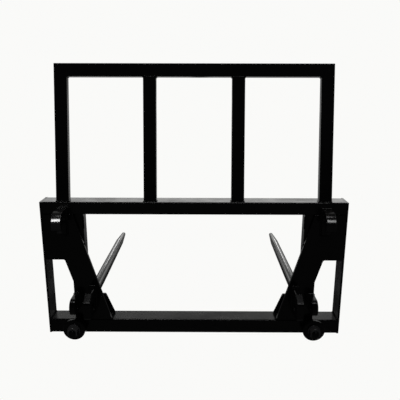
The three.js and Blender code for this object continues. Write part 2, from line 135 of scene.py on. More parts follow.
def begin_edit(obj: bpy.types.Object) -> None:
    """Opens an object in edit mode with all of its mesh selected.

    Args:
        obj: the object to edit.
    """
    take(obj)
    bpy.ops.object.mode_set(mode="EDIT")
    bpy.ops.mesh.select_mode(type="VERT")
    bpy.ops.mesh.select_all(action="SELECT")


def end_edit() -> None:
    """Goes back to object mode."""
    bpy.ops.object.mode_set(mode="OBJECT")


def pick_edges(obj: bpy.types.Object, test: Callable[[Vector, Vector], bool]) -> None:
    """Selects the edges that a test accepts, in edit mode.

    Args:
        obj: the object in edit mode.
        test: takes an edge's middle and its unit direction.
    """
    bpy.ops.mesh.select_mode(type="EDGE")
    bpy.ops.mesh.select_all(action="DESELECT")
    mesh = bmesh.from_edit_mesh(obj.data)
    for edge in mesh.edges:
        start, end = (vert.co for vert in edge.verts)
        edge.select = test((start + end) / 2, (end - start).normalized())
    mesh.select_flush_mode()
    bmesh.update_edit_mesh(obj.data)


def pick_verts(obj: bpy.types.Object, test: Callable[[Vector], bool]) -> None:
    """Selects the vertices that a test accepts, in edit mode.

    Args:
        obj: the object in edit mode.
        test: takes a vertex's place.
    """
    bpy.ops.mesh.select_mode(type="VERT")
    bpy.ops.mesh.select_all(action="DESELECT")
    mesh = bmesh.from_edit_mesh(obj.data)
    for vert in mesh.verts:
        vert.select = test(vert.co)
    mesh.select_flush(True)
    bmesh.update_edit_mesh(obj.data)


# ---------------------------------------------------------------- shaping


def apply_modifier(obj: bpy.types.Object, kind: str, **settings: object) -> None:
    """Adds a modifier to an object, sets it and applies it.

    Args:
        obj: the object to change.
        kind: the modifier's type.
        settings: the modifier's own values.
    """
    modifier = obj.modifiers.new(kind.lower(), kind)
    for name, value in settings.items():
        setattr(modifier, name, value)
    take(obj)
    bpy.ops.object.modifier_apply(modifier=modifier.name)


def soften(obj: bpy.types.Object, width: float, segments: int = 3) -> None:
    """Rounds the sharp edges of a piece and smooths it, with its flats kept flat.

    Args:
        obj: the piece.
        width: the rounding's width.
        segments: the faces across the rounding.
    """
    if width > 0:
        apply_modifier(obj, "BEVEL", width=width, segments=segments, limit_method="ANGLE",
                       angle_limit=BEVEL_ANGLE, use_clamp_overlap=True)
    take(obj)
    bpy.ops.object.shade_smooth_by_angle(angle=SMOOTH_ANGLE)
    apply_modifier(obj, "WEIGHTED_NORMAL", mode="FACE_AREA", weight=60, keep_sharp=True)


def tidy_shell(obj: bpy.types.Object) -> None:
    """Merges doubles and turns the faces outwards.

    Args:
        obj: the piece.
    """
    begin_edit(obj)
    bpy.ops.mesh.remove_doubles(threshold=MERGE_DISTANCE)
    bpy.ops.mesh.select_all(action="SELECT")
    bpy.ops.mesh.normals_make_consistent(inside=False)
    end_edit()


def settle(obj: bpy.types.Object, place: Vector, direction: Vector = Z_AXIS) -> None:
    """Turns a piece's own Z to a direction, moves it to its place and applies both.

    Args:
        obj: the piece, modelled about its own origin.
        place: where that origin goes.
        direction: where its Z axis points.
    """
    turn = Z_AXIS.rotation_difference(direction).to_matrix().to_4x4()
    obj.matrix_world = Matrix.Translation(place) @ turn
    take(obj)
    bpy.ops.object.transform_apply()


def block(name: str, low: Vector, high: Vector) -> bpy.types.Object:
    """Adds a rectangular block between two corners.

    Args:
        name: the piece's name.
        low: its lowest corner.
        high: its highest corner.

    Returns:
        The block, for shaping.
    """
    clear_selection()
    bpy.ops.mesh.primitive_cube_add(size=1, location=(low + high) / 2, scale=high - low)
    obj = bpy.context.object
    obj.name = obj.data.name = name
    bpy.ops.object.transform_apply()
    return obj


def rounded_tube(name: str, low: Vector, high: Vector, along: Vector,
        radius: float) -> bpy.types.Object:
    """Models a rectangular tube's skin, its long edges rolled to a radius.

    Args:
        name: the piece's name.
        low: its lowest corner.
        high: its highest corner.
        along: the tube's direction.
        radius: the outer corner radius.

    Returns:
        The tube.
    """
    obj = block(name, low, high)
    begin_edit(obj)
    pick_edges(obj, lambda middle, way: abs(way.dot(along)) > 0.99)
    bpy.ops.mesh.bevel(offset=radius, offset_type="OFFSET", segments=6, profile=0.5, affect="EDGES")
    end_edit()
    return obj


def bisect(obj: bpy.types.Object, place: Vector, normal: Vector) -> None:
    """Cuts a piece by a plane, keeps the side behind the normal and closes the cut.

    Args:
        obj: the piece.
        place: a point on the plane.
        normal: points to the side that is cut off.
    """
    begin_edit(obj)
    bpy.ops.mesh.bisect(plane_co=place, plane_no=normal, use_fill=True, clear_outer=True)
    end_edit()


def cut_with(obj: bpy.types.Object, cutter: bpy.types.Object,
        operation: str = "DIFFERENCE") -> None:
    """Cuts a piece with another object, which is then removed.

    Args:
        obj: the piece.
        cutter: the cutting object.
        operation: the Boolean modifier's operation.
    """
    apply_modifier(obj, "BOOLEAN", object=cutter, operation=operation, solver="EXACT")
    bpy.data.objects.remove(cutter)


def drill(obj: bpy.types.Object, place: Vector, along: Vector, radius: float, depth: float) -> None:
    """Drills a round hole through a piece.

    Args:
        obj: the piece.
        place: the hole's centre.
        along: the hole's direction.
        radius: the hole's radius.
        depth: the drill's length, centred on the place.
    """
    clear_selection()
    bpy.ops.mesh.primitive_cylinder_add(vertices=64, radius=radius, depth=depth)
    drill_bit = bpy.context.object
    settle(drill_bit, place, along)
    cut_with(obj, drill_bit)


def draw_line(name: str, points: Sequence[Vector]) -> bpy.types.Object:
    """Draws a line of edges by extruding one vertex from point to point.

    Args:
        name: the drawn object's name.
        points: the line's points.

    Returns:
        The object, still in edit mode.
    """
    clear_selection()
    bpy.ops.mesh.primitive_plane_add(size=1)
    obj = bpy.context.object
    obj.name = obj.data.name = name
    begin_edit(obj)
    bpy.ops.mesh.merge(type="CENTER")
    bpy.ops.transform.translate(value=points[0])
    for start, end in zip(points, points[1:]):
        bpy.ops.mesh.extrude_vertices_move(TRANSFORM_OT_translate={"value": end - start})
    return obj


def arc(centre: Point2, radius: float, start: float, end: float, steps: int) -> list[Point2]:
    """The points of an arc.

    Args:
        centre: the arc's centre.
        radius: its radius.
        start: its first angle in degrees.
        end: its last angle in degrees.
        steps: the number of chords.

    Returns:
        The points, both ends included.
    """
    angles = (math.radians(start + (end - start) * i / steps) for i in range(steps + 1))
    return [(centre[0] + radius * math.cos(a), centre[1] + radius * math.sin(a)) for a in angles]


def round_corners(corners: Sequence[tuple[float, float, float]], steps: int = 7) -> list[Point2]:
    """Rounds the corners of a polygon.

    Args:
        corners: each corner's place and radius.
        steps: the chords across a rounded corner.

    Returns:
        The outline's points.
    """
    points: list[Point2] = []
    for index, (x, y, radius) in enumerate(corners):
        corner = Vector((x, y))
        if radius == 0:
            points.append((x, y))
            continue
        back = (Vector(corners[index - 1][:2]) - corner).normalized()
        ahead = (Vector(corners[(index + 1) % len(corners)][:2]) - corner).normalized()
        half = math.acos(max(-1.0, min(1.0, back.dot(ahead)))) / 2
        centre = corner + (back + ahead).normalized() * (radius / math.sin(half))
        start = corner + back * (radius / math.tan(half)) - centre
        end = corner + ahead * (radius / math.tan(half)) - centre
        turn = math.atan2(start.x * end.y - start.y * end.x, start.dot(end))
        first = math.degrees(math.atan2(start.y, start.x))
        points += arc((centre.x, centre.y), radius, first, first + math.degrees(turn), steps)
    return points


def profile_plate(name: str, outline: Sequence[Point2], lift: Callable[[float, float], Vector],
        thickness: Vector) -> bpy.types.Object:
    """Draws an outline, fills it and extrudes it to a plate.

    Args:
        name: the piece's name.
        outline: the outline's points in its own plane.
        lift: carries a point of the plane into the frame.
        thickness: the way and the length of the extrusion.

    Returns:
        The plate.
    """
    obj = draw_line(name, [lift(*point) for point in outline])
    bpy.ops.mesh.select_all(action="SELECT")
    bpy.ops.mesh.edge_face_add()
    bpy.ops.mesh.select_all(action="SELECT")
    bpy.ops.mesh.extrude_region_move(TRANSFORM_OT_translate={"value": thickness})
    end_edit()
    tidy_shell(obj)
    return obj


def turned(name: str, profile: Sequence[Point2], steps: int = 96) -> bpy.types.Object:
    """Spins a profile about its own Z axis.

    Args:
        name: the piece's name.
        profile: the points as radius and height.
        steps: the faces round the piece.

    Returns:
        The turned piece, about its own origin.
    """
    obj = draw_line(name, [Vector((radius, 0, height)) for radius, height in profile])
    bpy.ops.mesh.select_all(action="SELECT")
    bpy.ops.mesh.spin(steps=steps, angle=2 * math.pi, center=(0, 0, 0), axis=(0, 0, 1))
    end_edit()
    tidy_shell(obj)
    return obj


def join(name: str, parts: Sequence[bpy.types.Object]) -> bpy.types.Object:
    """Joins several objects into one.

    Args:
        name: the joined piece's name.
        parts: the objects; the first one stays.

    Returns:
        The joined piece.
    """
    take(parts[0])
    for part in parts[1:]:
        part.select_set(True)
    if len(parts) > 1:
        bpy.ops.object.join()
    parts[0].name = parts[0].data.name = name
    return parts[0]


def mirrored(obj: bpy.types.Object, name: str) -> bpy.types.Object:
    """Copies a right-hand piece to the left, with a mesh of its own.

    Args:
        obj: the right-hand piece.
        name: the copy's name.

    Returns:
        The left-hand piece.
    """
    take(obj)
    bpy.ops.object.duplicate(linked=False)
    copy = bpy.context.object
    copy.name = copy.data.name = name
    copy.scale = (-1, 1, 1)
    bpy.ops.object.transform_apply()
    tidy_shell(copy)
    soften(copy, 0)
    return copy


# ---------------------------------------------------------------- fasteners and threads


def hexagon(name: str, across: float, height: float, bore: float = 0) -> bpy.types.Object:
    """Models a hexagon head or nut, its corners chamfered at both ends.

    Args:
        name: the piece's name.
        across: the width across the flats.
        height: its height from its own Z = 0.
        bore: the bore's radius, or 0 for a head.

    Returns:
        The hexagon, about its own Z axis.
    """
    corner = across / math.sqrt(3)
    clear_selection()
    bpy.ops.mesh.primitive_cylinder_add(vertices=6, radius=corner, depth=height,
        location=(0, 0, height / 2))
    obj = bpy.context.object
    obj.name = obj.data.name = name
    bpy.ops.object.transform_apply()
    flat = across / 2 * HEXAGON_FACE_SHARE
    reach = corner * HEXAGON_CLEAR_SHARE
    drop = (reach - flat) * math.tan(HEXAGON_CHAMFER_ANGLE)
    chamfer = turned("chamfer", [(0, 0), (flat, 0), (reach, drop), (reach, height - drop),
        (flat, height), (0, height)])
    cut_with(obj, chamfer, "INTERSECT")
    if bore:
        drill(obj, Vector((0, 0, height / 2)), Z_AXIS, bore, height * 2)
    soften(obj, across * 0.008, 2)
    return obj


def thread(name: str, radius: float, pitch: float, start: float, turns: int) -> bpy.types.Object:
    """Models the ridge of a screw thread.

    Args:
        name: the object's name.
        radius: the thread's outer radius.
        pitch: its pitch.
        start: where it starts along its own Z.
        turns: its number of turns.

    Returns:
        The ridge, about its own Z axis.
    """
    root = radius - pitch * THREAD_DEPTH_SHARE
    crest = [Vector((radius, 0, start + pitch * share)) for share in THREAD_CREST_SHARES]
    obj = draw_line(name, [Vector((root, 0, start)), *crest, Vector((root, 0, start + pitch))])
    end_edit()
    apply_modifier(obj, "SCREW", angle=2 * math.pi, screw_offset=pitch, iterations=turns, steps=48,
                   render_steps=48, axis="Z", use_merge_vertices=True)
    tidy_shell(obj)
    return obj


def washer(name: str, outer: float, inner: float, thickness: float) -> bpy.types.Object:
    """Models a flat washer with one rolled edge.

    Args:
        name: the piece's name.
        outer: its outer radius.
        inner: its bore's radius.
        thickness: its thickness from its own Z = 0.

    Returns:
        The washer, about its own Z axis.
    """
    roll = thickness * 0.3
    obj = turned(name, [(inner, 0), (outer - roll / 3, 0), (outer, roll / 3),
        (outer, thickness - roll), (outer - roll, thickness), (inner, thickness), (inner, 0)], 72)
    soften(obj, thickness * 0.06, 2)
    return obj


# ---------------------------------------------------------------- welds


@dataclass(frozen=True)
class WeldStyle:
    """The look of a hand-laid weld bead."""

    radius: float = 0.0042
    pitch: float = 0.0034
    swell: float = 0.84
    facets: int = 12

    def straight(self, start: Vector, end: Vector) -> bpy.types.Object:
        """Models a rippled bead between two points.

        Args:
            start: where it starts.
            end: where it ends.

        Returns:
            The bead.
        """
        length = (end - start).length
        count = max(2, round(length / self.pitch))
        pitch = length / count
        clear_selection()
        bpy.ops.mesh.primitive_circle_add(vertices=self.facets, radius=self.radius * self.swell)
        obj = bpy.context.object
        begin_edit(obj)
        for scale in (1 / self.swell, self.swell):
            bpy.ops.mesh.extrude_region_move(TRANSFORM_OT_translate={"value": (0, 0, pitch / 2)})
            bpy.ops.transform.resize(value=(scale, scale, 1))
        end_edit()
        apply_modifier(obj, "ARRAY", count=count, use_relative_offset=False,
            use_constant_offset=True, constant_offset_displace=(0, 0, pitch),
            use_merge_vertices=True, merge_threshold=1e-5)
        begin_edit(obj)
        for height in (0.0, length):
            pick_verts(obj, lambda place, level=height: abs(place.z - level) < pitch * 0.1)
            bpy.ops.mesh.edge_face_add()
            bpy.ops.mesh.inset(thickness=self.radius * 0.3)
        end_edit()
        tidy_shell(obj)
        soften(obj, 0)
        settle(obj, start, (end - start).normalized())
        return obj

    def runs(self, ends: Sequence[tuple[Sequence[float], Sequence[float]]]) -> list[
            bpy.types.Object]:
        """Models a straight bead between each pair of points."""
        return [self.straight(Vector(start), Vector(end)) for start, end in ends]

    def ring(self, place: Vector, along: Vector, radius: float) -> bpy.types.Object:
        """Models a rippled bead round a circle.

        Args:
            place: the circle's centre.
            along: the circle's axis.
            radius: its radius.

        Returns:
            The bead.
        """
        ripples = round(2 * math.pi * radius / self.pitch)
        clear_selection()
        bpy.ops.mesh.primitive_torus_add(major_segments=2 * ripples, minor_segments=self.facets,
            major_radius=radius, minor_radius=self.radius * self.swell)
        obj = bpy.context.object
        begin_edit(obj)
        step = math.pi / ripples
        pick_verts(obj, lambda at: round(math.atan2(at.y, at.x) / step) % 2 == 0)
        bpy.ops.transform.shrink_fatten(value=self.radius * (1 - self.swell))
        end_edit()
        soften(obj, 0)
        settle(obj, place, along)
        return obj


# ---------------------------------------------------------------- shared effects


class NodeSheet:
    """Adds nodes to a node tree and joins them."""

    def __init__(self, tree: bpy.types.NodeTree) -> None:
        """Keeps the tree."""
        self.tree = tree

    def add(self, kind: str, inputs: dict | None = None, **settings: object) -> bpy.types.Node:
        """Adds a node.

        Args:
            kind: the node's type.
            inputs: a value or an output socket for each input, by name or number.
            settings: the node's own values.

        Returns:
            The node.
        """
        node = self.tree.nodes.new(kind)
        for name, value in settings.items():
            setattr(node, name, value)
        for key, value in (inputs or {}).items():
            if isinstance(value, bpy.types.NodeSocket):
                self.tree.links.new(value, node.inputs[key])
            else:
                node.inputs[key].default_value = value
        return node

    def math(self, operation: str, first: object, second: object) -> bpy.types.NodeSocket:
        """Adds a sum or a product of two numbers."""
        return self.add("ShaderNodeMath", {0: first, 1: second}, operation=operation).outputs[0]

    def noise(self, vector: object, scale: object, detail: float,
            rough: float = 0.5) -> bpy.types.NodeSocket:
        """Adds a noise."""
        inputs = {"Vector": vector, "Scale": scale, "Detail": detail, "Roughness": rough}
        return self.add("ShaderNodeTexNoise", inputs).outputs[0]

    def remap(self, value: object, low: float, high: float, to_low: float = 0.0,
            to_high: float = 1.0, **settings: object) -> bpy.types.NodeSocket:
        """Adds a change of range, held within its ends."""
        inputs = {"Value": value, "From Min": low, "From Max": high, "To Min": to_low,
            "To Max": to_high}
        return self.add("ShaderNodeMapRange", inputs, **settings).outputs[0]


def effect_group(name: str, defaults: dict[str, float], result: str,
        fill: Callable) -> bpy.types.NodeTree:
    """Makes a shader node group with named inputs and one output, or finds it if it is there.

    Args:
        name: the group's name.
        defaults: the numbers it takes besides a Vector, with their usual values.
        result: the output's name.
        fill: puts in the nodes, given the sheet and the inputs, and gives the result.

    Returns:
        The group.
    """
    if name in bpy.data.node_groups:
        return bpy.data.node_groups[name]
    tree = bpy.data.node_groups.new(name, "ShaderNodeTree")
    tree.interface.new_socket("Vector", in_out="INPUT", socket_type="NodeSocketVector")
    for key, value in defaults.items():
        socket = tree.interface.new_socket(key, in_out="INPUT", socket_type="NodeSocketFloat")
        socket.default_value = value
    tree.interface.new_socket(result, in_out="OUTPUT", socket_type="NodeSocketFloat")
    sheet = NodeSheet(tree)
    given = sheet.add("NodeGroupInput").outputs
    tree.links.new(fill(sheet, given), sheet.add("NodeGroupOutput").inputs[result])
    return tree


def orange_peel() -> bpy.types.NodeTree:
    """The fine dimples and the slow waves of sprayed paint, as a height."""

    def fill(sheet: NodeSheet, given: bpy.types.NodeOutputs) -> bpy.types.NodeSocket:
        """Adds a fine and a slow noise."""
        fine = sheet.noise(given["Vector"], given["Grain"], 2.0, 0.45)
        slow = sheet.noise(given["Vector"], given["Wave"], 1.0)
        return sheet.math("ADD", fine, sheet.math("MULTIPLY", slow, given["Wave Height"]))

    return effect_group("orange_peel", {"Grain": 700, "Wave": 22, "Wave Height": 5}, "Height", fill)


def patchy_mask(name: str, scale: float, source: Callable, noise: Point2,
        spread: Point2) -> bpy.types.NodeTree:
    """Makes a group whose mask is a trait of the surface, broken by noise.

    Args:
        name: the group's name.
        scale: the noise's usual scale.
        source: gives the trait, from the sheet and the geometry's outputs.
        noise: the noise's detail and roughness.
        spread: the noise's values where the patches begin and are full.

    Returns:
        The group.
    """

    def fill(sheet: NodeSheet, given: bpy.types.NodeOutputs) -> bpy.types.NodeSocket:
        """Multiplies the trait by the patches and the amount."""
        trait = source(sheet, sheet.add("ShaderNodeNewGeometry").outputs)
        patch = sheet.remap(sheet.noise(given["Vector"], given["Scale"], *noise), *spread)
        return sheet.math("MULTIPLY", sheet.math("MULTIPLY", trait, patch), given["Amount"])

    return effect_group(name, {"Scale": scale, "Amount": 0.5}, "Mask", fill)


def settled_dust() -> bpy.types.NodeTree:
    """Dust on upward faces, broken by noise, as a mask."""

    def upward(sheet: NodeSheet, surface: bpy.types.NodeOutputs) -> bpy.types.NodeSocket:
        """Finds how far a face looks up."""
        split = sheet.add("ShaderNodeSeparateXYZ", {0: surface["Normal"]})
        return sheet.remap(split.outputs["Z"], 0.35, 1.0)

    return patchy_mask("settled_dust", 14, upward, (6.0, 0.62), (0.42, 0.72))


def edge_wear() -> bpy.types.NodeTree:
    """Paint worn thin along convex edges, broken by noise, as a mask; the lighter edges it gives are
    partly a painted highlight.
    """

    def edges(sheet: NodeSheet, surface: bpy.types.NodeOutputs) -> bpy.types.NodeSocket:
        """Finds the convex edges."""
        return sheet.remap(surface["Pointiness"], 0.54, 0.64)

    return patchy_mask("edge_wear", 60, edges, (5.0, 0.7), (0.5, 0.62))


# ---------------------------------------------------------------- finishes


@dataclass(frozen=True)
class GlossPaint:
    """Black enamel sprayed over steel."""

    name: str
    slot: Slot
    colour: tuple[float, float, float]
    roughness: float = 0.2
    roughness_spread: float = 0.07
    grain: float = 700
    wave_height: float = 5.0
    peel_height: float = 0.000012
    dust: float = 0.22
    # How strongly convex edges turn lighter: partly worn paint, partly a painted edge highlight.
    wear: float = 0.35
    dust_colour: tuple[float, float, float] = (0.045, 0.042, 0.038)
    # The lighter grey at convex edges: partly worn-through primer, partly a painted edge highlight.
    primer_colour: tuple[float, float, float] = (0.06, 0.058, 0.056)

    def material(self) -> bpy.types.Material:
        """Makes the material, or finds it if it is there.

        Returns:
            The material.
        """
        if self.name in bpy.data.materials:
            return bpy.data.materials[self.name]
        material = bpy.data.materials.new(self.name)
        material.use_nodes = True
        tree = material.node_tree
        sheet = NodeSheet(tree)
        shader = tree.nodes["Principled BSDF"]
        place = sheet.add("ShaderNodeTexCoord").outputs["Object"]
        dust = sheet.add("ShaderNodeGroup", {"Vector": place, "Amount": self.dust},
            node_tree=settled_dust()).outputs["Mask"]
        wear = sheet.add("ShaderNodeGroup", {"Vector": place, "Amount": self.wear},
            node_tree=edge_wear()).outputs["Mask"]
        peel = sheet.add("ShaderNodeGroup", {"Vector": place, "Grain": self.grain,
            "Wave Height": self.wave_height}, node_tree=orange_peel())
        tone = sheet.noise(place, 9.0, 3.0)
        paint = self.blend(sheet, tone, tuple(c * 0.8 for c in self.colour),
            tuple(c * 1.25 for c in self.colour))
        # Convex edges turn lighter grey here: partly worn paint, partly a painted highlight along the
        # edges.
        dusty = self.blend(sheet, dust, self.blend(sheet, wear, paint, self.primer_colour),
            self.dust_colour)
        half = self.roughness_spread / 2
        rough = sheet.remap(tone, 0.3, 0.7, self.roughness - half, self.roughness + half)
        matt = sheet.math("ADD", dust, wear)
        total = sheet.add("ShaderNodeMath", {0: matt, 1: 0.35, 2: rough}, operation="MULTIPLY_ADD")
        bump = sheet.add("ShaderNodeBump", {"Height": peel.outputs["Height"], "Strength": 1.0,
            "Distance": self.peel_height})
        tree.links.new(dusty, shader.inputs["Base Color"])
        tree.links.new(total.outputs[0], shader.inputs["Roughness"])
        tree.links.new(bump.outputs["Normal"], shader.inputs["Normal"])
        shader.inputs["IOR"].default_value = 1.5
        return material

    @staticmethod
    def blend(sheet: NodeSheet, mask: bpy.types.NodeSocket, under: object,
            over: object) -> bpy.types.NodeSocket:
        """Mixes two colours by a mask.

        Args:
            sheet: the material's sheet.
            mask: 0 shows the first colour and 1 the second.
            under: the first colour, or a socket that gives it.
            over: the second colour, or a socket that gives it.

        Returns:
            The mixed colour's socket.
        """
        under, over = ((*c, 1) if isinstance(c, tuple) else c for c in (under, over))
        return sheet.add("ShaderNodeMix", {0: mask, 6: under, 7: over}, data_type="RGBA").outputs[2]


FRAME_PAINT = GlossPaint("frame_gloss_black", Slot.FRAME, (0.0062, 0.0062, 0.0068))
HITCH_PAINT = GlossPaint("hitch_gloss_black", Slot.HITCH, (0.0056, 0.0056, 0.006), roughness=0.19)
WELD_PAINT = GlossPaint("weld_gloss_black", Slot.FRAME, (0.0068, 0.0068, 0.007), roughness=0.24,
    wear=0.15, grain=420, peel_height=0.00004)
HITCH_WELD_PAINT = GlossPaint("hitch_weld_gloss_black", Slot.HITCH, (0.0066, 0.0066, 0.0068),
    roughness=0.23, wear=0.15, grain=420, peel_height=0.00004)
TINE_PAINT = GlossPaint("tine_gloss_black", Slot.TINE, (0.0078, 0.0078, 0.0082), roughness=0.15,
    dust=0.12)
FASTENER_PAINT = GlossPaint("fastener_gloss_black", Slot.FASTENER, (0.009, 0.009, 0.0095),
    roughness=0.26, wear=0.5)


def enlist(obj: bpy.types.Object, finish: GlossPaint, *nodes: str) -> bpy.types.Object:
    """Dresses a finished piece and hands it to the frame.

    Args:
        obj: the piece.
        finish: its finish.
        nodes: the CAD nodes it stands for.

    Returns:
        The piece.
    """
    obj.data.materials.clear()
    obj.data.materials.append(finish.material())
    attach(obj, BODY)
    if nodes:
        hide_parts(*nodes)
    LOG.info("%s: %d faces, %s", obj.name, len(obj.data.polygons), finish.slot.value)
    return obj


def enlist_pair(right: bpy.types.Object, finish: GlossPaint, stem: str) -> None:
    """Dresses a right-hand piece and its mirrored copy.

    Args:
        right: the right-hand piece.
        finish: their finish.
        stem: their CAD nodes' name without the side.
    """
    left = mirrored(right, f"{stem}_{Side.LEFT.tag}_shell")
    right.name = right.data.name = f"{stem}_{Side.RIGHT.tag}_shell"
    for obj, side in ((right, Side.RIGHT), (left, Side.LEFT)):
        enlist(obj, finish, f"{stem}_{side.tag}")


def enlist_welds(beads: Sequence[bpy.types.Object], stem: str) -> None:
    """Joins the right-hand beads, mirrors them and dresses both.

    Args:
        beads: the right-hand beads.
        stem: their name without the side.
    """
    right = join(f"{stem}_right", beads)
    for obj in (right, mirrored(right, f"{stem}_left")):
        enlist(obj, HITCH_WELD_PAINT)


# ---------------------------------------------------------------- sub-assemblies


@dataclass
class Beams:
    """The upper and lower beams, and their welds to the side plates."""

    corner_radius: float = 0.006
    bore_radius: float = 0.025
    edge: float = 0.0005
    trim: float = 0.006
    weld: WeldStyle = field(default_factory=WeldStyle)

    def build(self) -> None:
        """Models and dresses both beams."""
        for name in ("upper_beam", "lower_beam"):
            low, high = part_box(name)
            tube = rounded_tube(f"{name}_shell", low, high, X_AXIS, self.corner_radius)
            if name == "lower_beam":
                for side in Side:
                    sleeve_low, sleeve_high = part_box(f"tine_sleeve_{side.tag}")
                    x = (sleeve_low.x + sleeve_high.x) / 2
                    drill(tube, Vector((x, (low.y + high.y) / 2, 0)), Y_AXIS, self.bore_radius, 0.2)
            soften(tube, self.edge, 2)
            enlist(tube, FRAME_PAINT, name)
        self.weld_ends()

    def weld_ends(self) -> None:
        """Lays the beads where the beams meet the side plates' inner faces."""
        beads = []
        plate_low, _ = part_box("side_plate_right")
        for name, top in (("lower_beam", True), ("upper_beam", False)):
            low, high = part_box(name)
            height = high.z if top else low.z
            for side in Side:
                x = side.value * plate_low.x
                beads += self.weld.runs([((x, low.y + self.trim, height),
                    (x, high.y - self.trim, height))])
        enlist(join("beam_end_welds", beads), WELD_PAINT)


@dataclass
class SidePlates:
    """The drilled flat bars that close the beams' ends, and the bolt in each."""

    hole_radius: float = 0.0045
    first_hole: float = 0.0825
    hole_pitch: float = 0.115
    hole_count: int = 4
    bolt_hole: int = 2
    bolt_rise: float = 0.008
    edge: float = 0.0009
    bolt_radius: float = 0.004
    head_across: float = 0.013
    head_height: float = 0.0055
    thread_pitch: float = 0.00125
    thread_turns: int = 8
    washer_bore: float = 0.005
    bore_play: float = 0.0003

    def build(self) -> None:
        """Models and dresses the plates and their fasteners."""
        low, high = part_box("side_plate_right")
        middle = (low + high) / 2
        plate = block("side_plate_right_shell", low, high)
        for index in range(self.hole_count):
            drill(plate, Vector((middle.x, middle.y, self.hole_height(index))), X_AXIS,
                self.hole_radius, 0.05)
        soften(plate, self.edge)
        enlist_pair(plate, FRAME_PAINT, "side_plate")
        self.build_fasteners(Vector((0, middle.y, self.hole_height(self.bolt_hole))))

    def hole_height(self, index: int) -> float:
        """Finds a hole's height.

        Args:
            index: the hole, counted from the bottom hole, 0.

        Returns:
            The Z of its centre.
        """
        rise = self.bolt_rise if index == self.bolt_hole else 0
        return self.first_hole + index * self.hole_pitch + rise

    def build_fasteners(self, axis: Vector) -> None:
        """Models the bolt, its washer and its nut.

        Args:
            axis: a point on the bolt's axis.
        """
        low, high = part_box("side_bolt_right")
        end = high.x - low.x
        chamfer = 0.0008
        root = self.bolt_radius - self.thread_pitch * 0.5
        thread_start = end - self.thread_turns * self.thread_pitch - self.thread_pitch - chamfer
        shank = turned("shank", [(0, self.head_height * 0.5),
            (self.bolt_radius, self.head_height * 0.5), (self.bolt_radius, thread_start),
            (root, thread_start + 0.0006), (root, end - chamfer), (root - chamfer, end), (0, end)],
            48)
        ridge = thread("ridge", self.bolt_radius, self.thread_pitch, thread_start,
            self.thread_turns)
        head = hexagon("head", self.head_across, self.head_height)
        bolt = join("side_bolt_right_shell", [head, shank, ridge])
        settle(bolt, Vector((low.x, axis.y, axis.z)), X_AXIS)
        soften(bolt, 0)
        enlist_pair(bolt, FASTENER_PAINT, "side_bolt")
        low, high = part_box("side_washer_right")
        ring = washer("side_washer_right_shell", (high.z - low.z) / 2, self.washer_bore,
            high.x - low.x)
        settle(ring, Vector((low.x, axis.y, axis.z)), X_AXIS)
        enlist_pair(ring, FASTENER_PAINT, "side_washer")
        low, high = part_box("side_nut_right")
        nut = hexagon("side_nut_right_shell", self.head_across, high.x - low.x,
            self.bolt_radius + self.bore_play)
        settle(nut, Vector((low.x, axis.y, axis.z)), X_AXIS)
        enlist_pair(nut, FASTENER_PAINT, "side_nut")


